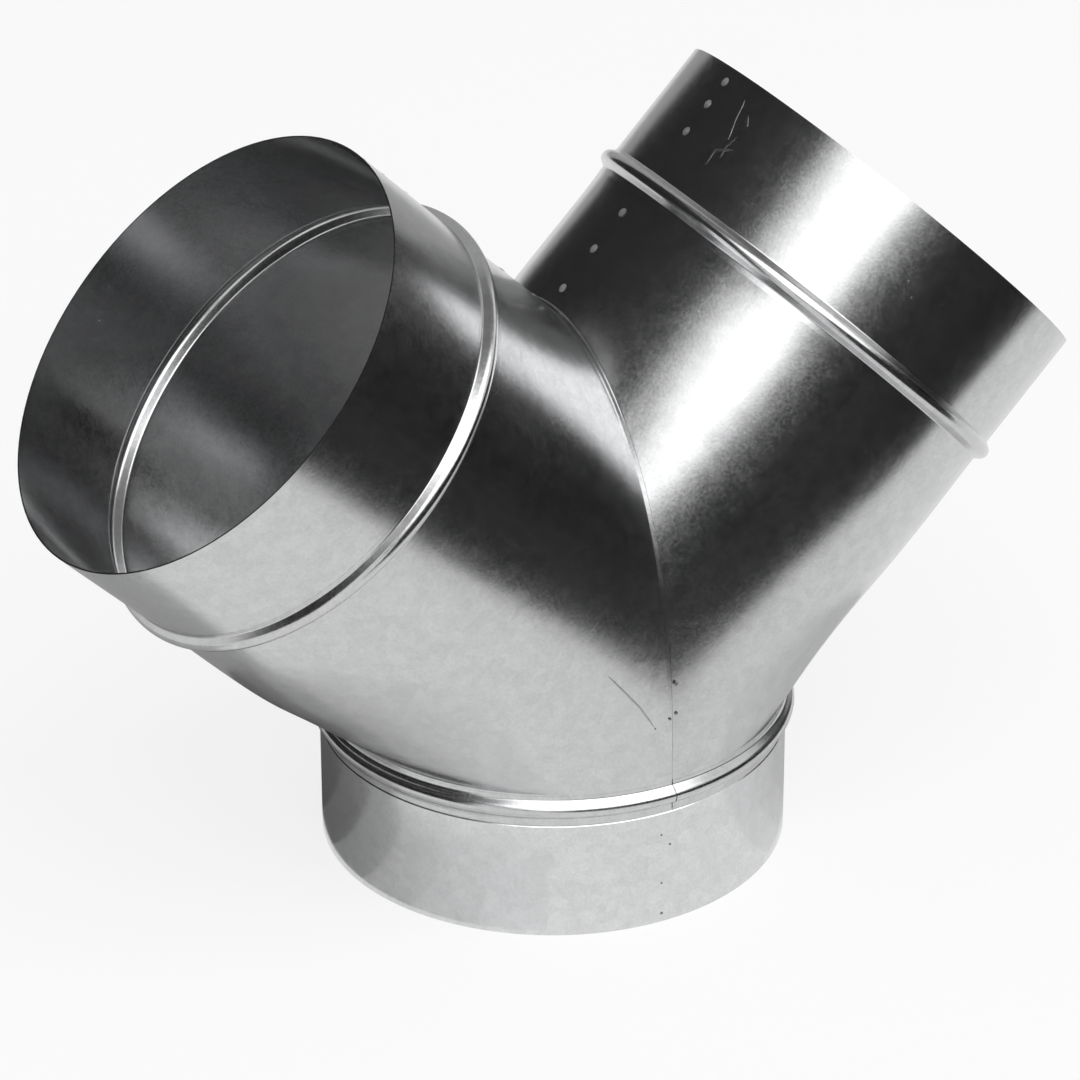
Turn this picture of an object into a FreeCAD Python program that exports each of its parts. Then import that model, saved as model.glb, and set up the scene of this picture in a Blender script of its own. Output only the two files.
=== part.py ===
import FreeCAD, Part
import math
import os
import Sketcher

# Galvanised sheet-steel duct Y branch, in millimetres. Two equal legs lean left (-X) and
# right (+X) from an upright base collar. The origin is the centre of the base rim, +Z is up.

doc = FreeCAD.newDocument("duct_y_branch")
sizes = doc.addObject("Spreadsheet::Sheet", "Sizes")

DRIVING = [
    ("spigot_radius", 99.5, "outside of the plain spigots, for 200 mm duct"),
    ("sheet", 0.7, "sheet thickness"),
    ("sheet_gap", 0.1, "play between two lapped sheets"),
    ("leg_angle", 45.0, "lean of each leg from the vertical, degrees"),
    ("meet_height", 99.3, "base rim to the point where the three axes meet"),
    ("arm_bead_reach", 165.0, "meeting point to the middle of a leg's stop bead"),
    ("arm_spigot", 58.2, "middle of that bead to the leg's rim"),
    ("base_spigot", 60.5, "base rim to the middle of the base stop bead"),
    ("bead_height", 3.6, "how far a bead stands proud of the spigot"),
    ("bead_crest", 3.4, "radius of the bead's round crest"),
    ("bead_foot", 2.8, "radius of the hollow at each foot of the bead"),
    ("bead_land", 1.5, "plain sheet between a bead and the formed leg"),
    ("hem", 2.0, "leg sheet left below the base bead"),
    ("joggle", 0.8, "length over which the collar is drawn in to slip inside the legs"),
    ("tuck", 1.0, "collar sheet left above the base bead, inside the legs"),
    ("mitre_lip", 1.5, "how far the left leg laps over the right one"),
    ("neck_break", 0.5, "open joint between the legs' beaded necks"),
    ("seam_width", 12.0, "width of the double sheet at a lap seam"),
    ("leg_seam_angle", 4.0, "leg lap seam from the throat towards the back, degrees"),
    ("collar_seam_angle", -92.0, "collar lap seam from +X, just left of the front, degrees"),
]


def fill_sheet():
    for row, (alias, value, note) in enumerate(DRIVING, start=1):
        sizes.set(f"A{row}", note)
        sizes.set(f"B{row}", str(value))
        sizes.setAlias(f"B{row}", alias)
    doc.recompute()


fill_sheet()

# Lengths that several pieces share, written once as formulas on the sheet.
RADIUS = "Sizes.spigot_radius"
SHEET = "Sizes.sheet"
GAP = "Sizes.sheet_gap"
LEAN = "Sizes.leg_angle"
MEET = "Sizes.meet_height"
BEAD_RADII = "(Sizes.bead_crest + Sizes.bead_foot)"
BEAD_HALF = f"sqrt(2 * Sizes.bead_height * {BEAD_RADII} - Sizes.bead_height ^ 2)"
CREST_CENTRE = f"({RADIUS} + Sizes.bead_height - Sizes.bead_crest)"
ARM_BEAD = "Sizes.arm_bead_reach"
ARM_START = f"({ARM_BEAD} - {BEAD_HALF} - Sizes.bead_land)"
ARM_RIM = f"({ARM_BEAD} + Sizes.arm_spigot)"
BASE_BEAD = "Sizes.base_spigot"
HEM_LOW = f"({BASE_BEAD} - {BEAD_HALF} - Sizes.hem)"
NECK_TOP = f"({BASE_BEAD} + {BEAD_HALF} + Sizes.bead_land)"
COLLAR_TOP = f"({BASE_BEAD} + {BEAD_HALF} + Sizes.tuck)"
JOGGLE_TOP = f"({HEM_LOW} - {GAP})"
JOGGLE_LOW = f"({JOGGLE_TOP} - Sizes.joggle)"
STEP = f"({GAP} + {SHEET})"
TONGUE_INSIDE = f"(-{STEP} - {SHEET})"
RIGHT_START = f"(Sizes.mitre_lip + {GAP})"
NECK_START = "(Sizes.mitre_lip + Sizes.neck_break)"
SEAM_INSIDE = f"-2 * {SHEET}"
SEAM_OUTSIDE = f"-0.5 * {SHEET}"
CROTCH = f"({RADIUS} / sin({LEAN}))"
CROTCH_REACH = f"({RADIUS} / tan({LEAN}))"
FAR = f"({ARM_RIM} + {MEET} + 2 * {RADIUS})"


def value_of(formula):
    """The number that a formula on the sheet gives now."""
    return float(sizes.evalExpression(formula))


def bind(item, **formulas):
    """Tie properties of an object to formulas on the sheet. Two underscores stand for a dot."""
    for name, formula in formulas.items():
        item.setExpression(name.replace("__", "."), str(formula))
    return item


def pin_size(sketch, constraint, formula):
    """Add a dimension to a sketch and tie it to a formula on the sheet."""
    index = sketch.addConstraint(constraint)
    sketch.setExpression(f"Constraints[{index}]", formula)


def beaded_line(sketch, offset, low, high, bead):
    """One face of a beaded sheet, from its low end to its high end: wall, hollow, crest,
    hollow, wall. The offset is measured outwards from the outside of a plain spigot."""
    wall = value_of(f"{RADIUS} + {offset}")
    crest_radius = value_of(f"Sizes.bead_crest + {offset}")
    foot_radius = value_of(f"Sizes.bead_foot - ({offset})")
    middle = value_of(bead)
    half = value_of(BEAD_HALF)
    crest_x = value_of(CREST_CENTRE)
    foot_x = wall + foot_radius
    sweep = math.atan2(half, foot_x - crest_x)
    up = FreeCAD.Vector(0, 0, 1)
    low_foot_circle = Part.Circle(FreeCAD.Vector(foot_x, middle - half, 0), up, foot_radius)
    crest_circle = Part.Circle(FreeCAD.Vector(crest_x, middle, 0), up, crest_radius)
    high_foot_circle = Part.Circle(FreeCAD.Vector(foot_x, middle + half, 0), up, foot_radius)
    low_wall, low_foot, crest, high_foot, high_wall = sketch.addGeometry([
        Part.LineSegment(FreeCAD.Vector(wall, value_of(low), 0),
                         FreeCAD.Vector(wall, middle - half, 0)),
        Part.ArcOfCircle(low_foot_circle, math.pi - sweep, math.pi),
        Part.ArcOfCircle(crest_circle, -sweep, sweep),
        Part.ArcOfCircle(high_foot_circle, math.pi, math.pi + sweep),
        Part.LineSegment(FreeCAD.Vector(wall, middle + half, 0),
                         FreeCAD.Vector(wall, value_of(high), 0)),
    ], False)
    sketch.addConstraint([
        Sketcher.Constraint("Vertical", low_wall),
        Sketcher.Constraint("Vertical", high_wall),
        Sketcher.Constraint("Tangent", low_wall, 2, low_foot, 2),
        Sketcher.Constraint("Tangent", low_foot, 1, crest, 1),
        Sketcher.Constraint("Tangent", crest, 2, high_foot, 2),
        Sketcher.Constraint("Tangent", high_foot, 1, high_wall, 1),
    ])
    pin_size(sketch, Sketcher.Constraint("DistanceX", -1, 1, low_wall, 1, wall),
             f"{RADIUS} + {offset}")
    pin_size(sketch, Sketcher.Constraint("DistanceX", -1, 1, crest, 3, crest_x), CREST_CENTRE)
    pin_size(sketch, Sketcher.Constraint("DistanceY", -1, 1, crest, 3, middle), bead)
    pin_size(sketch, Sketcher.Constraint("Radius", crest, crest_radius),
             f"Sizes.bead_crest + {offset}")
    for foot in (low_foot, high_foot):
        pin_size(sketch, Sketcher.Constraint("Radius", foot, foot_radius),
                 f"Sizes.bead_foot - ({offset})")
    pin_size(sketch, Sketcher.Constraint("DistanceY", -1, 1, low_wall, 1, value_of(low)), low)
    pin_size(sketch, Sketcher.Constraint("DistanceY", -1, 1, high_wall, 2, value_of(high)), high)
    return low_wall, high_wall


def joggled_line(sketch, offset):
    """One face of the collar: the plain spigot, the joggle that draws it in by a sheet and
    its play, and the beaded end that sits inside the legs."""
    wall, top = beaded_line(sketch, f"{offset} - {STEP}", JOGGLE_TOP, COLLAR_TOP, BASE_BEAD)
    spigot_x = value_of(f"{RADIUS} + {offset}")
    spigot_high = FreeCAD.Vector(spigot_x, value_of(JOGGLE_LOW), 0)
    spigot, slope = sketch.addGeometry([
        Part.LineSegment(FreeCAD.Vector(spigot_x, 0, 0), spigot_high),
        Part.LineSegment(spigot_high, sketch.getPoint(wall, 1)),
    ], False)
    sketch.addConstraint([
        Sketcher.Constraint("Vertical", spigot),
        Sketcher.Constraint("Coincident", spigot, 2, slope, 1),
        Sketcher.Constraint("Coincident", slope, 2, wall, 1),
        Sketcher.Constraint("PointOnObject", spigot, 1, -1),
    ])
    pin_size(sketch, Sketcher.Constraint("DistanceX", -1, 1, spigot, 2, spigot_x),
             f"{RADIUS} + {offset}")
    pin_size(sketch, Sketcher.Constraint("DistanceY", -1, 1, spigot, 2, spigot_high.y), JOGGLE_LOW)
    return spigot, top


def upright_sketch(name):
    sketch = doc.addObject("Sketcher::SketchObject", name)
    sketch.Placement.Rotation = FreeCAD.Rotation(FreeCAD.Vector(1, 0, 0), 90)
    return sketch


def close_ends(sketch, inner, outer):
    """Join the two faces of a sheet across its cut edges."""
    for own_end, (inner_line, outer_line) in zip((1, 2), zip(inner, outer)):
        inner_point = sketch.getPoint(inner_line, own_end)
        outer_point = sketch.getPoint(outer_line, own_end)
        edge = sketch.addGeometry(Part.LineSegment(inner_point, outer_point), False)
        sketch.addConstraint([
            Sketcher.Constraint("Coincident", edge, 1, inner_line, own_end),
            Sketcher.Constraint("Coincident", edge, 2, outer_line, own_end),
        ])
    return sketch


def beaded_profile(name, inside, outside, low, high, bead):
    """Section of a beaded sheet between two offsets, drawn beside its upright axis."""
    sketch = upright_sketch(name)
    outer = beaded_line(sketch, outside, low, high, bead)
    inner = beaded_line(sketch, inside, low, high, bead)
    return close_ends(sketch, inner, outer)


def collar_profile(name, inside, outside):
    sketch = upright_sketch(name)
    outer = joggled_line(sketch, outside)
    inner = joggled_line(sketch, inside)
    return close_ends(sketch, inner, outer)


def turned(name, profile, angle=360):
    """Revolve a profile about the upright axis."""
    ring = doc.addObject("Part::Revolution", name)
    ring.Source = profile
    ring.Axis = (0, 0, 1)
    ring.Base = (0, 0, 0)
    ring.Solid = True
    bind(ring, Angle=angle)
    return ring


def boolean(kind, name):
    """A boolean that keeps every face as it is cut, because merging faces can fail on the
    narrow ones at the mitre joint."""
    result = doc.addObject(f"Part::{kind}", name)
    result.Refine = False
    return result


def cut(name, base, tool):
    result = boolean("Cut", name)
    result.Base = base
    result.Tool = tool
    return result


def common(name, base, tool):
    result = boolean("Common", name)
    result.Base = base
    result.Tool = tool
    return result


def fused(name, pieces):
    result = boolean("MultiFuse", name)
    result.Shapes = pieces
    return result


def mirrored(name, source):
    """The same thing handed the other way, across the mitre plane."""
    result = doc.addObject("Part::Mirroring", name)
    result.Source = source
    result.Base = (0, 0, 0)
    result.Normal = (1, 0, 0)
    return result


def seam_strip(name, profile, turn):
    """The inner sheet of a lap seam: a narrow turn of a profile that lies inside the wall
    and reaches half a sheet into it, where the spot welds hold the two together."""
    strip = turned(name, profile, f"Sizes.seam_width / {RADIUS} * 180 / pi")
    return bind(strip, Placement__Rotation__Angle=turn)


def leg_spigot():
    """Arm end of a leg, upright on its own axis and then leaned over to the left."""
    profile = beaded_profile("arm_profile", f"-{SHEET}", "0", ARM_START, ARM_RIM, ARM_BEAD)
    tube = turned("arm_tube", profile)
    strip_profile = beaded_profile("arm_seam_profile", SEAM_INSIDE, SEAM_OUTSIDE,
                                   CROTCH_REACH, ARM_RIM, ARM_BEAD)
    strip = seam_strip("arm_seam", strip_profile, "Sizes.leg_seam_angle")
    arm = fused("arm", [tube, strip])
    arm.Placement.Rotation = FreeCAD.Rotation(FreeCAD.Vector(0, -1, 0), value_of(LEAN))
    return bind(arm, Placement__Rotation__Angle=LEAN, Placement__Base__z=MEET)


def bend_point(share, start, corner, end):
    """Formula for a point on a curve that leaves start and reaches end aiming at corner."""
    rest = 1 - share
    return f"({rest ** 2} * {start} + {2 * share * rest} * {corner} + {share ** 2} * {end})"


def leg_sections():
    """Formulas for the legs' oval sections, as the x and z of the throat end and of the
    underside end, taken from the meeting point. The first two stand square across the
    leg, and the rest swing down to the level circle on top of the neck."""
    neck = f"({NECK_TOP} - {MEET})"
    corner = f"({RADIUS} * (1 - cos({LEAN})) / sin({LEAN}))"
    sections = []
    for reach in (ARM_START, CROTCH_REACH):
        throat = (f"({RADIUS} * cos({LEAN}) - {reach} * sin({LEAN}))",
                  f"({RADIUS} * sin({LEAN}) + {reach} * cos({LEAN}))")
        under = (f"(-{RADIUS} * cos({LEAN}) - {reach} * sin({LEAN}))",
                 f"(-{RADIUS} * sin({LEAN}) + {reach} * cos({LEAN}))")
        sections.append((throat, under))
    for share in (0.25, 0.5, 0.75, 1.0):
        low_throat = (bend_point(share, "0", RADIUS, RADIUS),
                      bend_point(share, CROTCH, corner, neck))
        low_under = (f"({1 - share} * {under[0]} - {share} * {RADIUS})",
                     f"({1 - share} * {under[1]} + {share} * {neck})")
        sections.append((low_throat, low_under))
    return sections


def leg_form(name, growth):
    """Solid form of the left leg between its arm bead and its neck, grown by an offset."""
    ovals = []
    for number, (throat, under) in enumerate(leg_sections()):
        span_x = f"({throat[0]} - {under[0]})"
        span_z = f"({throat[1]} - {under[1]})"
        half = f"(sqrt({span_x} ^ 2 + {span_z} ^ 2) / 2)"
        oval = doc.addObject("Part::Ellipse", f"{name}_section_{number}")
        oval.Placement.Rotation = FreeCAD.Rotation(FreeCAD.Vector(0, -1, 0), value_of(LEAN))
        bind(oval,
             MajorRadius=f"max({half}; {RADIUS}) + {growth}",
             MinorRadius=f"{RADIUS} + {growth}",
             Placement__Base__x=f"({throat[0]} + {under[0]}) / 2",
             Placement__Base__z=f"{MEET} + ({throat[1]} + {under[1]}) / 2",
             Placement__Rotation__Angle=f"atan2({span_z}; {span_x})")
        ovals.append(oval)
    form = doc.addObject("Part::Loft", name)
    form.Sections = ovals
    form.Solid = True
    form.Ruled = False
    return form


def block(name, low_x, high_x, low_z="0"):
    """A block across the whole branch between two planes parallel to the mitre plane."""
    item = doc.addObject("Part::Box", name)
    return bind(item,
                Length=f"{high_x} - ({low_x})", Width=f"2 * {FAR}", Height=FAR,
                Placement__Base__x=low_x, Placement__Base__y=f"-{FAR}",
                Placement__Base__z=low_z)


def make_left_leg(arm, outer, inner, neck):
    """The left leg: cut on the mitre plane, with a narrow lip turned up flush with the wall
    of the right leg."""
    wall = cut("left_wall", outer, inner)
    half = cut("left_half", fused("left_tube", [arm, wall]), block("left_mitre", "0", FAR))
    lip = common("lip_handed", wall, block("lip_slab", "-Sizes.mitre_lip", "0", NECK_TOP))
    own_neck = cut("left_neck", neck, block("left_neck_end", "Sizes.mitre_lip", FAR))
    return fused("left_leg", [half, own_neck, mirrored("lip", lip)])


def make_right_leg(arm, outer, inner, neck):
    """The right leg: the left one handed over. Next to the mitre plane its wall steps in by a
    sheet and its play, so that the left leg's lip lies flush on it."""
    step_in = f"-({RIGHT_START} + {SHEET})"
    room = cut("right_room", inner, block("right_room_end", step_in, FAR))
    tongue_room = cut("tongue_room", leg_form("tongue_inside", TONGUE_INSIDE),
                      block("tongue_room_end", f"-{FAR}", step_in))
    rebate = cut("rebate", cut("rebate_skin", outer, leg_form("tongue_outside", f"-{STEP}")),
                 block("rebate_end", f"-{FAR}", f"-{RIGHT_START}"))
    mitre = block("right_mitre", f"-{GAP}", FAR)
    wall = outer
    for number, tool in enumerate((room, tongue_room, rebate, mitre)):
        wall = cut(f"right_wall_{number}", wall, tool)
    own_arm = cut("right_arm", arm, block("right_arm_end", f"-{RIGHT_START}", FAR))
    sheet = mirrored("right_sheet", fused("right_sheet_handed", [own_arm, wall]))
    own_neck = cut("right_neck", neck, block("right_neck_end", f"-{FAR}", NECK_START))
    return fused("right_leg", [sheet, own_neck])


def make_base_collar():
    """The base collar: a spigot whose drawn-in end is beaded together with the legs."""
    ring = turned("collar_ring", collar_profile("collar_sheet", f"-{SHEET}", "0"))
    strip_profile = collar_profile("collar_seam_profile", SEAM_INSIDE, SEAM_OUTSIDE)
    strip = seam_strip("collar_seam", strip_profile, "Sizes.collar_seam_angle")
    return fused("base_collar", [ring, strip])


def check_and_export(pieces):
    doc.recompute()
    for item in doc.Objects:
        if "Invalid" in item.State or "Error" in item.State:
            raise RuntimeError(f"{item.Label} failed: {item.State}")
    os.makedirs("parts", exist_ok=True)
    for piece in pieces:
        shape = piece.Shape
        if shape.isNull() or not shape.isValid() or not shape.Solids:
            raise RuntimeError(f"{piece.Label} has no valid solid")
        print(f"{piece.Label}: {len(shape.Solids)} solid, {shape.Volume:.0f} mm3")
    for piece in pieces:
        piece.Shape.exportStep(f"parts/{piece.Label}.step")


leg_arm = leg_spigot()
leg_outer = leg_form("leg_outside", "0")
leg_inner = leg_form("leg_inside", f"-{SHEET}")
neck_profile = beaded_profile("neck_profile", f"-{SHEET}", "0", HEM_LOW, NECK_TOP, BASE_BEAD)
neck_ring = turned("neck_ring", neck_profile)
check_and_export([
    make_left_leg(leg_arm, leg_outer, leg_inner, neck_ring),
    make_right_leg(leg_arm, leg_outer, leg_inner, neck_ring),
    make_base_collar(),
])
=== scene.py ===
import math

import bmesh
import bpy
from mathutils import Matrix, Quaternion, Vector


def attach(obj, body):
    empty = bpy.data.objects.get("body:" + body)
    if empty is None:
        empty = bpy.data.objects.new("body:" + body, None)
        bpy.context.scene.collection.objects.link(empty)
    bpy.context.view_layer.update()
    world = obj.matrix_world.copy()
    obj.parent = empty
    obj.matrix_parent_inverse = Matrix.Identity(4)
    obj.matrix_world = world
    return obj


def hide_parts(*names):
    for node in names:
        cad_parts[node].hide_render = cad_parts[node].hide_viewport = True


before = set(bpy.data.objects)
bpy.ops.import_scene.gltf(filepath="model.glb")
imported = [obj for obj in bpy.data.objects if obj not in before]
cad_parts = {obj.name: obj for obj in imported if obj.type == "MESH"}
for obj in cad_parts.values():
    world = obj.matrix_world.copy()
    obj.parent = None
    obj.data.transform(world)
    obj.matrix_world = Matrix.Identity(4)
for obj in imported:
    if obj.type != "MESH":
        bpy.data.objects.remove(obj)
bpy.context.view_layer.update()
scene = bpy.context.scene
scene.view_settings.view_transform = "Standard"
print("packed duct branch loaded")


# camera: bearing and tilt in degrees, lengths in metres
cameraSetup = {
    "bearing": 28.51,  # looks towards +Y, turned this far towards +X
    "downTilt": 27.72,
    "roll": -0.14,
    "distance": 2.1323,
    "aimHeight": 0.0993,  # where the axes of the three spigots meet
    "slideRight": -0.0052,
    "slideUp": 0.0299,
    "lens": 167.9,
}


def viewDirection(bearing, downTilt):
    turn, tilt = math.radians(bearing), math.radians(downTilt)
    return Vector((math.sin(turn) * math.cos(tilt), math.cos(turn) * math.cos(tilt), -math.sin(tilt)))


def makeCamera(setup):
    forward = viewDirection(setup["bearing"], setup["downTilt"])
    right = forward.cross(Vector((0, 0, 1))).normalized()
    up = right.cross(forward)
    camera = bpy.data.objects.new("productCamera", bpy.data.cameras.new("productCamera"))
    scene.collection.objects.link(camera)
    camera.location = (Vector((0, 0, setup["aimHeight"])) - forward * setup["distance"]
                       + right * setup["slideRight"] + up * setup["slideUp"])
    camera.rotation_mode = "QUATERNION"
    level = Matrix((right, up, -forward)).transposed().to_quaternion()
    camera.rotation_quaternion = Quaternion(forward, -math.radians(setup["roll"])) @ level
    camera.data.lens = setup["lens"]
    camera.data.sensor_width = 36
    camera.data.clip_end = 60
    scene.camera = camera


makeCamera(cameraSetup)
print("camera placed")


# studio: where things stand round the branch, bearings in degrees from the front (-Y) towards +X
overFloor = 0.001  # the low cards, sheets and rings lie this far over the floor, in metres
studio = {
    "middle": (0, 0, 0.16),
    "fill": 0.5,  # plain light from all round, on matt things
    "floorColour": (0.92, 0.92, 0.92),
    "floorGlow": 0.8,  # share of plain white that a viewer sees in the floor
    "softBox": {  # edges run from dark to full, in metres from its centre line
        "bearing": -8, "height": 48, "distance": 3.6, "lampLevel": 1.57, "level": 2.6,
        "leftEdge": (-2.86, -1.35), "rightEdge": (3.6, 2.7),
        "lowEdge": (-2.13, -1.5), "highEdge": (2.7, 2),
        "dimGlowStrip": 0.5, "dimGlowLevel": 0.2,  # painted light: a dim glowing strip that hangs below it, seen only in the metal
    },
    "cards": {  # cards that the bare metal mirrors, tall enough to reach these heights in metres
        "frontCard": {"fromBearing": -24, "toBearing": 30, "distance": 1.8, "high": 0.62, "shade": 0.01},
        "cornerCard": {"fromBearing": 30, "toBearing": 76, "distance": 1.8, "high": 0.85, "shade": 0.01},
        "rightCard": {"fromBearing": 76, "toBearing": 112, "distance": 1.8, "high": 1.15, "shade": 0.05},
        "backCard": {"fromBearing": 112, "toBearing": 177, "distance": 1.8, "high": 3.4, "shade": 0.5},
        "leftCard": {"fromBearing": 177, "toBearing": 296, "distance": 1.5, "high": 3.4, "shade": 0.027},
    },
    "sheets": {  # level ones, by their corners
        "darkCloth": {"height": overFloor, "shade": 0.015,
                      "corners": ((-0.5, -1.8), (1.8, -1.8), (1.8, -0.29),
                                  (0.3, -0.25), (0, -0.42), (-0.5, -0.72))},
        "greyCeiling": {"height": 6, "shade": 0.35, "corners": ((-5, -1.4), (5, -1.4), (5, 5), (-5, 5))},
    },
    "ringStart": 0.101,  # just outside the base rim
    "rings": {  # painted shadow: level ones round the base rim, seen only in the metal, that stand in for the branch's own shade on the floor, darkest behind it
        "backShade": {"fromBearing": 160, "toBearing": 240, "outer": 0.17, "shade": 0.26},
        "turnShade": {"fromBearing": 240, "toBearing": 258, "outer": 0.17, "shade": 0.38},
        "sideShade": {"fromBearing": 258, "toBearing": 276, "outer": 0.17, "shade": 0.64},
        "paleShade": {"fromBearing": 276, "toBearing": 294, "outer": 0.17, "shade": 0.86},
        "leftPaleShade": {"fromBearing": 294, "toBearing": 312, "outer": 0.17, "shade": 0.93},
        "leftFaintShade": {"fromBearing": 312, "toBearing": 330, "outer": 0.17, "shade": 0.99},
        "rightShade": {"fromBearing": 68, "toBearing": 100, "outer": 0.22, "shade": 0.83},
        "rightPaleShade": {"fromBearing": 54, "toBearing": 68, "outer": 0.22, "shade": 0.9},
        "rightFaintShade": {"fromBearing": 40, "toBearing": 54, "outer": 0.22, "shade": 0.97},
        "farShade": {"fromBearing": 160, "toBearing": 270, "inner": 0.17, "outer": 0.5, "shade": 0.64},
    },
}


def shownToViewer(tree):
    # one where the ray comes straight from the camera, a mirror or glass
    path = tree.nodes.new("ShaderNodeLightPath")
    both = tree.nodes.new("ShaderNodeMath")
    both.operation = "MAXIMUM"
    tree.links.new(path.outputs["Is Camera Ray"], both.inputs[0])
    tree.links.new(path.outputs["Is Glossy Ray"], both.inputs[1])
    allThree = tree.nodes.new("ShaderNodeMath")
    allThree.operation = "MAXIMUM"
    tree.links.new(both.outputs[0], allThree.inputs[0])
    tree.links.new(path.outputs["Is Transmission Ray"], allThree.inputs[1])
    return allThree.outputs[0]


def makeWorld(setup):
    world = bpy.data.worlds.new("whiteStudio")
    scene.world = world
    world.use_nodes = True
    tree = world.node_tree
    tree.nodes.clear()
    fill = tree.nodes.new("ShaderNodeBackground")
    fill.inputs["Strength"].default_value = setup["fill"]
    fill.inputs["Color"].default_value = (1, 1, 1, 1)
    white = tree.nodes.new("ShaderNodeBackground")
    white.inputs["Color"].default_value = (1, 1, 1, 1)
    white.inputs["Strength"].default_value = 1
    mix = tree.nodes.new("ShaderNodeMixShader")
    out = tree.nodes.new("ShaderNodeOutputWorld")
    tree.links.new(shownToViewer(tree), mix.inputs["Fac"])
    tree.links.new(fill.outputs[0], mix.inputs[1])
    tree.links.new(white.outputs[0], mix.inputs[2])
    tree.links.new(mix.outputs[0], out.inputs["Surface"])


def plainMesh(name, points, faces, smooth=True):
    mesh = bpy.data.meshes.new(name)
    mesh.from_pydata(points, [], faces)
    mesh.polygons.foreach_set("use_smooth", [smooth] * len(mesh.polygons))
    thing = bpy.data.objects.new(name, mesh)
    scene.collection.objects.link(thing)
    return thing


def addGlow(material, share):
    tree = material.node_tree
    out = tree.nodes["Material Output"]
    white = tree.nodes.new("ShaderNodeEmission")
    white.inputs["Color"].default_value = (1, 1, 1, 1)
    white.inputs["Strength"].default_value = 1
    part = tree.nodes.new("ShaderNodeMath")
    part.operation = "MULTIPLY"
    part.inputs[1].default_value = share
    tree.links.new(shownToViewer(tree), part.inputs[0])
    mix = tree.nodes.new("ShaderNodeMixShader")
    tree.links.new(part.outputs[0], mix.inputs["Fac"])
    tree.links.new(tree.nodes["Principled BSDF"].outputs[0], mix.inputs[1])
    tree.links.new(white.outputs[0], mix.inputs[2])
    tree.links.new(mix.outputs[0], out.inputs["Surface"])


def mattFinish(name, shade):
    material = bpy.data.materials.new(name)
    material.use_nodes = True
    paint = material.node_tree.nodes["Principled BSDF"]
    paint.inputs["Base Color"].default_value = (*shade, 1)
    paint.inputs["Roughness"].default_value = 0.9
    paint.inputs["Specular IOR Level"].default_value = 0.1
    return material


def ringMesh(name, inner, outer, height, fromBearing=0, toBearing=360, steps=96):
    points, faces = [], []
    for n in range(steps + 1):
        turn = math.radians(fromBearing + (toBearing - fromBearing) * n / steps)
        points += [(reach * math.sin(turn), -reach * math.cos(turn), height) for reach in (inner, outer)]
        if n:
            faces.append((2 * n - 2, 2 * n - 1, 2 * n + 1, 2 * n))
    return plainMesh(name, points, faces, smooth=False)


def makeFloor(setup, pinhole=0.0001, baseRim=0.098, reach=7):
    # outside the base rim the floor glows for the viewer, and under the branch it doesn't
    for name, inner, outer, glow in (("studioFloor", baseRim, reach, setup["floorGlow"]),
                                     ("floorUnderBranch", pinhole, baseRim, 0)):
        floor = ringMesh(name, inner, outer, 0)
        finish = mattFinish(name + "Paint", setup["floorColour"])
        if glow:
            addGlow(finish, glow)
        floor.data.materials.append(finish)


def standAt(bearing, height, distance, middle):
    turn, rise = math.radians(bearing), math.radians(height)
    return Vector(middle) + distance * Vector((math.sin(turn) * math.cos(rise),
                                               -math.cos(turn) * math.cos(rise), math.sin(rise)))


def makeSoftBox(box, middle):
    # a lamp for the matt things, and a card with soft edges that stands in its place in mirrors
    left, right = sum(box["leftEdge"]) / 2, sum(box["rightEdge"]) / 2
    low, high = sum(box["lowEdge"]) / 2, sum(box["highEdge"]) / 2
    lamp = bpy.data.lights.new("softBoxLamp", "AREA")
    lamp.shape = "RECTANGLE"
    lamp.size, lamp.size_y = right - left, high - low
    lamp.energy = box["lampLevel"] * math.pi * lamp.size * lamp.size_y
    stand = bpy.data.objects.new("softBoxLamp", lamp)
    scene.collection.objects.link(stand)
    centre = standAt(box["bearing"], box["height"], box["distance"], middle)
    facing = (Vector(middle) - centre).to_track_quat("-Z", "Y")
    stand.rotation_mode = "QUATERNION"
    stand.rotation_quaternion = facing
    stand.location = centre + facing @ Vector(((left + right) / 2, (low + high) / 2, 0))
    stand.visible_camera = False
    stand.visible_glossy = False

    sides = (box["leftEdge"][0], box["rightEdge"][0])
    ends = (box["lowEdge"][0] - box["dimGlowStrip"], box["highEdge"][0])
    corners = [(sides[0], ends[0], 0), (sides[1], ends[0], 0),
               (sides[1], ends[1], 0), (sides[0], ends[1], 0)]
    front = plainMesh("softBoxFront", corners, [(0, 1, 2, 3)], smooth=False)
    front.location = centre
    front.rotation_mode = "QUATERNION"
    front.rotation_quaternion = facing
    front.data.materials.append(softLight(box))
    hideFromMatt(front)


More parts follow.
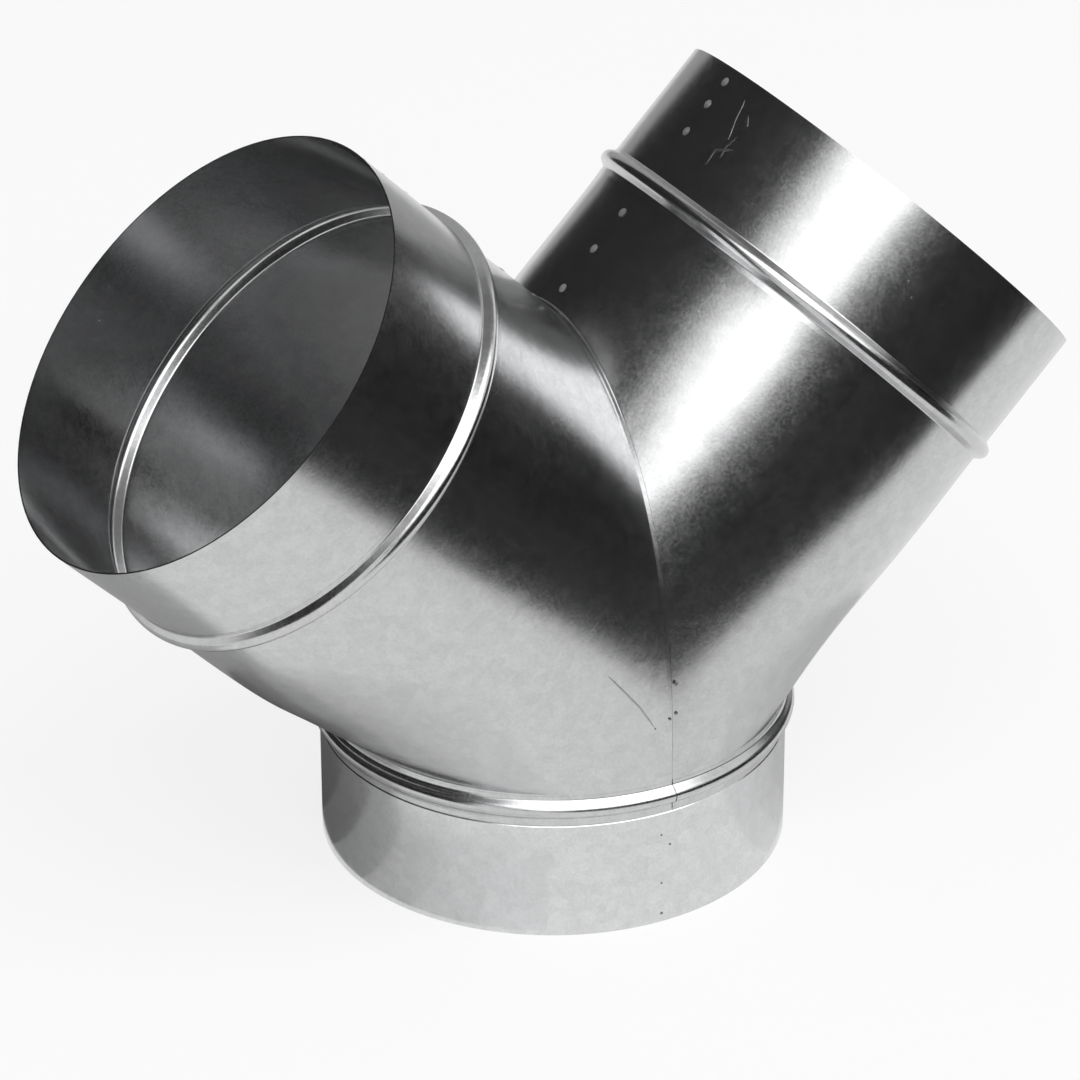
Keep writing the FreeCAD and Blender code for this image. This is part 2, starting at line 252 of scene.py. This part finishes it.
def softLight(box):
    material = bpy.data.materials.new("softBoxLight")
    material.use_nodes = True
    tree = material.node_tree
    tree.nodes.clear()
    place = tree.nodes.new("ShaderNodeTexCoord")
    along = tree.nodes.new("ShaderNodeSeparateXYZ")
    tree.links.new(place.outputs["Object"], along.inputs[0])
    level = None
    fades = (("X", "leftEdge", 0, 1), ("X", "rightEdge", 0, 1), ("Y", "highEdge", 0, 1),
             ("Y", "lowEdge", box["dimGlowLevel"], box["level"]))
    for axis, edge, low, high in fades:
        fade = tree.nodes.new("ShaderNodeMapRange")
        fade.interpolation_type = "SMOOTHSTEP"
        for socket, number in zip(("From Min", "From Max", "To Min", "To Max"), (*box[edge], low, high)):
            fade.inputs[socket].default_value = number
        tree.links.new(along.outputs[axis], fade.inputs["Value"])
        if level is None:
            level = fade.outputs["Result"]
            continue
        both = tree.nodes.new("ShaderNodeMath")
        both.operation = "MULTIPLY"
        tree.links.new(level, both.inputs[0])
        tree.links.new(fade.outputs["Result"], both.inputs[1])
        level = both.outputs[0]
    light = tree.nodes.new("ShaderNodeEmission")
    light.inputs["Color"].default_value = (1, 1, 1, 1)
    out = tree.nodes.new("ShaderNodeOutputMaterial")
    tree.links.new(level, light.inputs["Strength"])
    tree.links.new(light.outputs[0], out.inputs["Surface"])
    return material


def hideFromMatt(card):
    # seen in the metal alone: it hides nothing from the camera and throws no shade
    card.visible_camera = False
    card.visible_diffuse = False
    card.visible_shadow = False


def mirroredOnly(card, shade):
    card.data.materials.append(mattFinish(card.name + "Paper", (shade,) * 3))
    hideFromMatt(card)


def makeCard(name, card, steps=40):
    points, faces = [], []
    for n in range(steps + 1):
        share = n / steps
        turn = math.radians(card["fromBearing"] + share * (card["toBearing"] - card["fromBearing"]))
        x, y = card["distance"] * math.sin(turn), -card["distance"] * math.cos(turn)
        points += [(x, y, overFloor), (x, y, card["high"])]
        if n:
            faces.append((2 * n - 2, 2 * n, 2 * n + 1, 2 * n - 1))
    mirroredOnly(plainMesh(name, points, faces), card["shade"])


def makeSheet(name, sheet):
    corners = [(x, y, sheet["height"]) for x, y in sheet["corners"]]
    mirroredOnly(plainMesh(name, corners, [list(range(len(corners)))], smooth=False), sheet["shade"])


makeWorld(studio)
makeFloor(studio)
makeSoftBox(studio["softBox"], studio["middle"])
for cardName, card in studio["cards"].items():
    makeCard(cardName, card)
for sheetName, sheet in studio["sheets"].items():
    makeSheet(sheetName, sheet)
# the rings are painted shadow of the branch on the floor, seen only in the metal
for ringName, ring in studio["rings"].items():
    inner = ring.get("inner", studio["ringStart"])
    band = ringMesh(ringName, inner, ring["outer"], overFloor, ring["fromBearing"], ring["toBearing"])
    mirroredOnly(band, ring["shade"])
print("studio lit")


# galvanised sheet: sizes of its patterns in metres
zincFinish = {
    "light": (0.65, 0.653, 0.658),
    "dark": (0.49, 0.493, 0.498),
    "grain": 0.0012,
    "grainDepth": 0.000014,
    "mottle": 0.006,
    "spangle": 0.005,
    "smudge": 0.07,
    "roughFrom": 0.16,
    "roughTo": 0.25,
    "speckle": 0.0013,
    "speckleRough": 0.04,  # how much rougher its speckles are
    "lightShares": {"grain": 0.4, "mottle": 0.35, "crystal": 0.25},  # of the step from dark to light
    "roughShares": {"grain": 0.4, "mottle": 0.3, "smudge": 0.3},  # of the step in roughness
    "noiseRange": (0.3, 0.7),  # nearly all of a noise's values lie in it
    "speckleRange": (0.35, 0.7),
}


def galvanisedSheet(name, lean, finish):
    material = bpy.data.materials.new(name)
    material.use_nodes = True
    tree = material.node_tree
    nodes, links = tree.nodes, tree.links
    steel = nodes["Principled BSDF"]
    steel.inputs["Metallic"].default_value = 1
    place = nodes.new("ShaderNodeTexCoord")
    turn = nodes.new("ShaderNodeMapping")
    turn.inputs["Rotation"].default_value = (0, math.radians(lean), 0)
    links.new(place.outputs["Object"], turn.inputs["Vector"])

    def noise(size, detail, rough=0.55):
        node = nodes.new("ShaderNodeTexNoise")
        node.inputs["Scale"].default_value = 1 / size
        node.inputs["Detail"].default_value = detail
        node.inputs["Roughness"].default_value = rough
        links.new(turn.outputs["Vector"], node.inputs["Vector"])
        return node.outputs["Fac"]

    def ramp(value, fromLow, fromHigh, toLow, toHigh):
        node = nodes.new("ShaderNodeMapRange")
        for socket, number in zip(("From Min", "From Max", "To Min", "To Max"),
                                  (fromLow, fromHigh, toLow, toHigh)):
            node.inputs[socket].default_value = number
        links.new(value, node.inputs["Value"])
        return node.outputs["Result"]

    def total(*values):
        result = values[0]
        for value in values[1:]:
            node = nodes.new("ShaderNodeMath")
            node.operation = "ADD"
            links.new(result, node.inputs[0])
            links.new(value, node.inputs[1])
            result = node.outputs[0]
        return result

    grain = noise(finish["grain"], 3)
    mottle = noise(finish["mottle"], 5, 0.62)
    smudge = noise(finish["smudge"], 3)
    spangle = nodes.new("ShaderNodeTexVoronoi")
    spangle.inputs["Scale"].default_value = 1 / finish["spangle"]
    links.new(turn.outputs["Vector"], spangle.inputs["Vector"])
    crystal = nodes.new("ShaderNodeSeparateColor")
    links.new(spangle.outputs["Color"], crystal.inputs["Color"])

    shade = nodes.new("ShaderNodeMix")
    shade.data_type = "RGBA"
    shade.inputs["A"].default_value = (*finish["dark"], 1)
    shade.inputs["B"].default_value = (*finish["light"], 1)
    shares = finish["lightShares"]
    links.new(total(ramp(grain, *finish["noiseRange"], 0, shares["grain"]),
                    ramp(mottle, *finish["noiseRange"], 0, shares["mottle"]),
                    ramp(crystal.outputs["Red"], 0, 1, 0, shares["crystal"])), shade.inputs["Factor"])
    links.new(shade.outputs["Result"], steel.inputs["Base Color"])

    spread = finish["roughTo"] - finish["roughFrom"]
    shares = finish["roughShares"]
    speckle = noise(finish["speckle"], 2)
    grainTop = finish["roughFrom"] + shares["grain"] * spread
    links.new(total(ramp(grain, *finish["noiseRange"], finish["roughFrom"], grainTop),
                    ramp(mottle, *finish["noiseRange"], 0, shares["mottle"] * spread),
                    ramp(smudge, *finish["noiseRange"], 0, shares["smudge"] * spread),
                    ramp(speckle, *finish["speckleRange"], 0, finish["speckleRough"])),
              steel.inputs["Roughness"])

    relief = nodes.new("ShaderNodeBump")
    relief.inputs["Strength"].default_value = 1
    relief.inputs["Distance"].default_value = finish["grainDepth"]
    links.new(grain, relief.inputs["Height"])
    links.new(relief.outputs["Normal"], steel.inputs["Normal"])
    return material


def toned(finish, toneAndSheen):
    result = dict(finish)
    for part in ("light", "dark"):
        result[part] = tuple(toneAndSheen * value for value in finish[part])
    return result


sheets = {  # lean of the sheet's grain in degrees, and how bright its zinc is beside the others', partly the zinc's own and partly painted reflection: the base collar is lighter for the bright floor it mirrors in front, the right leg darker for its dimmer mirrored floor
    "left_leg": {"lean": 45, "toneAndSheen": 1},
    "right_leg": {"lean": -45, "toneAndSheen": 0.96},
    "base_collar": {"lean": 0, "toneAndSheen": 1.14},
}
zincOf = {}
# each sheet's copy of the zinc is partly painted reflection, made lighter or darker to match how bright the
# floor it mirrors looks
for node, sheet in sheets.items():
    zincOf[node] = galvanisedSheet(node + "_zinc", sheet["lean"], toned(zincFinish, sheet["toneAndSheen"]))
    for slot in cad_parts[node].material_slots:
        slot.material = zincOf[node]
print("galvanised finish on the three sheets")


# the solids' own sizes in metres and degrees, which the small pieces are laid out by
branch = {
    "radius": 0.0995,
    "sheet": 0.0007,
    "lean": 45,
    "meetHeight": 0.0993,
    "beadReach": 0.165,
    "baseBeadHeight": 0.0605,
    "mitreLip": 0.0015,
    "neckBreak": 0.0005,
}
legs = {"left_leg": -1, "right_leg": 1}  # the side that each leans to


def sideName(node):
    # left or right, as the names of the leg's own small pieces start
    return node.split("_")[0]


def finishPiece(piece, material):
    piece.data.materials.append(material)
    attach(piece, "root")
    return piece


def legPlace(side):
    return (Matrix.Translation((0, 0, branch["meetHeight"]))
            @ Matrix.Rotation(side * math.radians(branch["lean"]), 4, "Y"))


def onLeg(side, reach, fromThroat):
    # a point on a leg's outside and the way out there; angles run from the throat towards the front
    turn = math.radians(fromThroat)
    out = Vector((-side * math.cos(turn), -math.sin(turn), 0))
    place = legPlace(side)
    point = place @ (out * branch["radius"] + Vector((0, 0, reach)))
    return point, place.to_3x3() @ out


def turned(name, section, place, fromTurn=0, toTurn=360, steps=360):
    # a ring turned from (radius, along) points, or from a function that gives them at each turn
    points, faces = [], []
    closed = toTurn - fromTurn == 360
    rows = steps if closed else steps + 1
    for n in range(rows):
        turn = math.radians(fromTurn + (toTurn - fromTurn) * n / steps)
        here = section(turn) if callable(section) else section
        points += [place @ Vector((radius * math.sin(turn), -radius * math.cos(turn), along))
                   for radius, along in here]
    count = len(here)
    for n in range(steps):
        here, there = n * count, (n + 1) % rows * count
        faces += [(here + k, there + k, there + k + 1, here + k + 1) for k in range(count - 1)]
    return plainMesh(name, points, faces)


# rolled beads, in metres: crisp at their feet, and softer, as the solid is,
# where the neck's runs into the arms
beads = {
    "soft": {"height": 0.0036, "crestRadius": 0.0034, "footRadius": 0.0028, "wallReach": 0.0006,
             "outsideLift": 0.00003},  # its two curves meet with no straight flank between them
    "crisp": {"height": 0.0036, "crestRadius": 0.0034, "footRadius": 0.0008, "flank": 54,
              "wallReach": 0.0015, "outsideLift": 0.00002, "insideLift": 0.00006},
    "softFrom": 0.055,  # how far to the side the neck's bead starts and ends turning soft
    "softBy": 0.0755,
    "neckSteps": 240,  # each half of the neck's bead
    "cutSlack": 0.00002,  # how far past the solid bead's feet its faces are still taken away
    "onBead": 0.0002,  # a corner this near to the solid bead's outside is on it
    "outward": 0.2,  # a face that turns out by more than this is an outer one
}


def beadFlank(bead):
    # the flank's slope, and the width of its straight run
    curves = bead["crestRadius"] + bead["footRadius"]
    if "flank" not in bead:
        return math.acos(1 - bead["height"] / curves), 0
    slope = math.radians(bead["flank"])
    return slope, (bead["height"] - curves * (1 - math.cos(slope))) / math.tan(slope)


def beadHalf(bead):
    # half the bead's width, where its foot meets the plain wall
    slope, straight = beadFlank(bead)
    return (bead["crestRadius"] + bead["footRadius"]) * math.sin(slope) + straight


def beadSection(bead, middle, inside=False, crestSteps=14, footSteps=8):
    half = beadHalf(bead)
    slope = beadFlank(bead)[0]
    footX = branch["radius"] + bead["footRadius"]
    crestX = branch["radius"] + bead["height"] - bead["crestRadius"]
    grow = -branch["sheet"] - bead["insideLift"] if inside else bead["outsideLift"]
    upper = []  # from the crest's top to the end on the plain wall
    for n in range(crestSteps + 1):
        turn = slope * n / crestSteps
        reach = bead["crestRadius"] + grow
        upper.append((crestX + reach * math.cos(turn), reach * math.sin(turn)))
    for n in range(footSteps + 1):
        turn = math.pi + slope * (1 - n / footSteps)
        reach = bead["footRadius"] - grow
        upper.append((footX + reach * math.cos(turn), half + reach * math.sin(turn)))
    for share in (0.3, 1):
        upper.append((branch["radius"] + grow, half + bead["wallReach"] * share))
    lower = [(radius, -along) for radius, along in reversed(upper[1:])]
    return [(radius, middle + along) for radius, along in lower + upper]


def solidBeadRadius(along):
    # outside radius of the solid's bead at a distance from its middle
    soft = beads["soft"]
    half = beadHalf(soft)
    along = min(abs(along), half)
    if along < half * soft["crestRadius"] / (soft["crestRadius"] + soft["footRadius"]):
        crestX = branch["radius"] + soft["height"] - soft["crestRadius"]
        return crestX + math.sqrt(soft["crestRadius"] ** 2 - along ** 2)
    return branch["radius"] + soft["footRadius"] - math.sqrt(soft["footRadius"] ** 2 - (half - along) ** 2)


def sheetWithoutBeads(node, side):
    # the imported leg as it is, less the faces of its arm's bead and the outer ones of its neck's
    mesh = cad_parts[node].data.copy()
    toLeg = legPlace(side).inverted()
    reach = beadHalf(beads["soft"]) + beads["cutSlack"]
    armCorners, neckCorners = set(), set()
    form = bmesh.new()
    form.from_mesh(mesh)
    for corner in form.verts:
        if abs((toLeg @ corner.co).z - branch["beadReach"]) < reach:
            armCorners.add(corner)
        along = corner.co.z - branch["baseBeadHeight"]
        if (abs(along) < reach and abs(corner.co.x) < beads["softBy"]
                and abs(corner.co.xy.length - solidBeadRadius(along)) < beads["onBead"]):
            neckCorners.add(corner)
    gone = []
    for face in form.faces:
        turnedOut = face.normal.xy.dot(face.calc_center_median().xy.normalized()) > beads["outward"]
        if armCorners.issuperset(face.verts) or (turnedOut and neckCorners.issuperset(face.verts)):
            gone.append(face)
    bmesh.ops.delete(form, geom=gone, context="FACES")
    form.to_mesh(mesh)
    form.free()
    mesh.materials.clear()
    piece = bpy.data.objects.new(sideName(node) + "LegSheet", mesh)
    scene.collection.objects.link(piece)
    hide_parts(node)
    return finishPiece(piece, zincOf[node])


for node, side in legs.items():
    sheetWithoutBeads(node, side)
    for face in ("Outside", "Inside"):
        section = beadSection(beads["crisp"], branch["beadReach"], face == "Inside")
        finishPiece(turned(sideName(node) + "Bead" + face, section, legPlace(side)), zincOf[node])

crispNeck = beadSection(beads["crisp"], branch["baseBeadHeight"])
softNeck = beadSection(beads["soft"], branch["baseBeadHeight"])


def neckSection(turn):
    aside = abs(branch["radius"] * math.sin(turn))
    share = min(1, max(0, (aside - beads["softFrom"]) / (beads["softBy"] - beads["softFrom"])))
    soft = share * share * (3 - 2 * share)
    return [tuple(a + (b - a) * soft for a, b in zip(crisp, softer))
            for crisp, softer in zip(crispNeck, softNeck)]


neckCut = branch["radius"] + beads["soft"]["height"] / 2
leftStop = math.degrees(math.asin(branch["mitreLip"] / neckCut))
rightStart = math.degrees(math.asin((branch["mitreLip"] + branch["neckBreak"]) / neckCut))
for node, fromTurn, toTurn in (("right_leg", rightStart, 180 - rightStart),
                               ("left_leg", 180 - leftStop, 360 + leftStop)):
    ring = turned(sideName(node) + "NeckBead", neckSection, Matrix(), fromTurn, toTurn, beads["neckSteps"])
    finishPiece(ring, zincOf[node])
print("rolled beads added")


# spot welds along the lap seams and dark spots down the front seam, in metres
marks = {
    "weldSection": ((0, 0.0003), (0.0005, 0.00026), (0.0009, 0.00012), (0.0012, 0.00003), (0.0015, 0.00008),
                    (0.0018, 0.00003), (0.00195, -0.00003)),
    "legReaches": (0.2166, 0.2051, 0.1909, 0.1486, 0.1297, 0.1091),
    "fromThroat": -2,
    "weldFinish": {"light": (0.88, 0.88, 0.88), "dark": (0.7, 0.7, 0.7), "roughFrom": 0.45, "roughTo": 0.6},
    "spotSection": ((0, 0.0002), (0.0004, 0.00016), (0.0007, 0.00006), (0.0009, -0.00003)),
    "spotFinish": {"light": (0.3, 0.3, 0.3), "dark": (0.16, 0.16, 0.16), "roughFrom": 0.4, "roughTo": 0.6},
    "spots": ((0.003, 0.1118, 0.9), (0.0032, 0.0981, 0.8), (0.0005, 0.096, 0.6), (-0.0068, 0.0935, 1.2),
              (-0.0032, 0.042, 0.6), (0.0009, 0.0365, 0.7), (-0.0029, 0.0187, 0.6), (-0.0028, 0.004, 0.8)),
}


def markFinish(name, finish):
    return galvanisedSheet(name, 0, {**zincFinish, **finish})


def smallMark(name, section, point, out, material, scale=1):
    place = Matrix.Translation(point) @ out.to_track_quat("Z", "Y").to_matrix().to_4x4()
    sized = [(radius * scale, rise * scale) for radius, rise in section]
    return finishPiece(turned(name, sized, place, steps=24), material)


weldZinc = markFinish("weldedZinc", marks["weldFinish"])
# the seam spots are small domes, much darker than the zinc round them
darkSpotZinc = markFinish("darkSpotZinc", marks["spotFinish"])
for node, side in legs.items():
    for number, reach in enumerate(marks["legReaches"], start=1):
        point, out = onLeg(side, reach, marks["fromThroat"])
        smallMark(f"{sideName(node)}Weld{number}", marks["weldSection"], point, out, weldZinc)
for number, (x, height, scale) in enumerate(marks["spots"], start=1):
    out = Vector((x, -math.sqrt(branch["radius"] ** 2 - x * x), 0)) / branch["radius"]
    point = out * branch["radius"] + Vector((0, 0, height))
    smallMark(f"seamSpot{number}", marks["spotSection"], point, out, darkSpotZinc, scale)
print("welds and seam spots added")


# the mitre's bright edge, a score and rub marks, each a thin strand half sunk in the sheet, in metres
strands = {
    "mitre": {"fromTurn": -36, "toTurn": 36, "steps": 120, "atX": 0.0009, "thickness": 0.0003, "flat": 1.4},
    "score": {  # on the left leg's front: x and height
        "thickness": 0.0004, "flat": 0.16,
        "finish": {"light": (0.56, 0.56, 0.56), "dark": (0.38, 0.38, 0.38),
                   "roughFrom": 0.3, "roughTo": 0.45},
        "points": ((-0.0289, 0.1242), (-0.0224, 0.116), (-0.0139, 0.1053), (-0.0068, 0.0939)),
    },
    "rubs": {  # on the right spigot: reach, and degrees from the throat to the front
        "thickness": 0.00045, "flat": 0.04,
        "finish": {"roughFrom": 0.24, "roughTo": 0.32},
        "lines": (((0.2150, 7.8), (0.2060, 9.3), (0.1978, 11.4)),
                  ((0.1956, 14.5), (0.1914, 10.2), (0.1840, 10.6)),
                  ((0.2010, 13.0), (0.1950, 12.2), (0.1900, 12.8)),
                  ((0.2105, 11.5), (0.2065, 13.6))),
    },
    "taper": 6,  # a strand thins out over its length divided by this, at both ends
    "thinnest": 0.05,
}


def mitrePoint(turn, atX):
    radius = branch["radius"]
    rise = radius * math.cos(turn) / math.sin(math.radians(branch["lean"]))
    return Vector((atX, -radius * math.sin(turn), branch["meetHeight"] + rise + atX))


def strand(name, line, outs, thickness, flat, material, sides=8):
    # outs are the ways out of the sheet along the line, and flat is the strand's height beside its width
    points, faces = [], []
    last = len(line) - 1
    for n, (here, out) in enumerate(zip(line, outs)):
        ahead = (line[min(n + 1, last)] - line[max(n - 1, 0)]).normalized()
        across = ahead.cross(out).normalized()
        other = flat * out
        share = strands["taper"] * min(n, last - n) / last
        reach = thickness * math.sqrt(max(strands["thinnest"], min(1, share)))
        for k in range(sides):
            spin = 2 * math.pi * k / sides
            points.append(here + reach * (math.cos(spin) * across + math.sin(spin) * other))
        if n:
            row = (n - 1) * sides
            faces += [(row + k, row + (k + 1) % sides, row + sides + (k + 1) % sides, row + sides + k)
                      for k in range(sides)]
    return finishPiece(plainMesh(name, points, faces), material)


def between(marksAlong, steps=12):
    # evenly spread places on the straight runs between the marks given
    places = []
    for start, end in zip(marksAlong, marksAlong[1:]):
        places += [[a + (b - a) * n / steps for a, b in zip(start, end)] for n in range(steps)]
    return places + [list(marksAlong[-1])]


mitre, score, rubs = strands["mitre"], strands["score"], strands["rubs"]
mitreEnds = ((mitre["fromTurn"],), (mitre["toTurn"],))
mitreTurns = [math.radians(turn) for (turn,) in between(mitreEnds, mitre["steps"])]
strand("mitreEdge", [mitrePoint(turn, mitre["atX"]) for turn in mitreTurns],
       [Vector((0, -math.sin(turn), math.cos(turn))) for turn in mitreTurns],
       mitre["thickness"], mitre["flat"], zincOf["left_leg"])
scoreLine = [Vector((x, -branch["radius"], height)) for x, height in between(score["points"])]
scoredZinc = markFinish("scoredZinc", score["finish"])
strand("leftScore", scoreLine, [Vector((0, -1, 0))] * len(scoreLine),
       score["thickness"], score["flat"], scoredZinc)
rubbedZinc = markFinish("rubbedZinc", rubs["finish"])
for number, line in enumerate(rubs["lines"], start=1):
    places, outs = zip(*(onLeg(1, reach, turn) for reach, turn in between(line)))
    strand(f"rightRub{number}", places, outs, rubs["thickness"], rubs["flat"], rubbedZinc)
print("mitre edge, score and rub marks added")
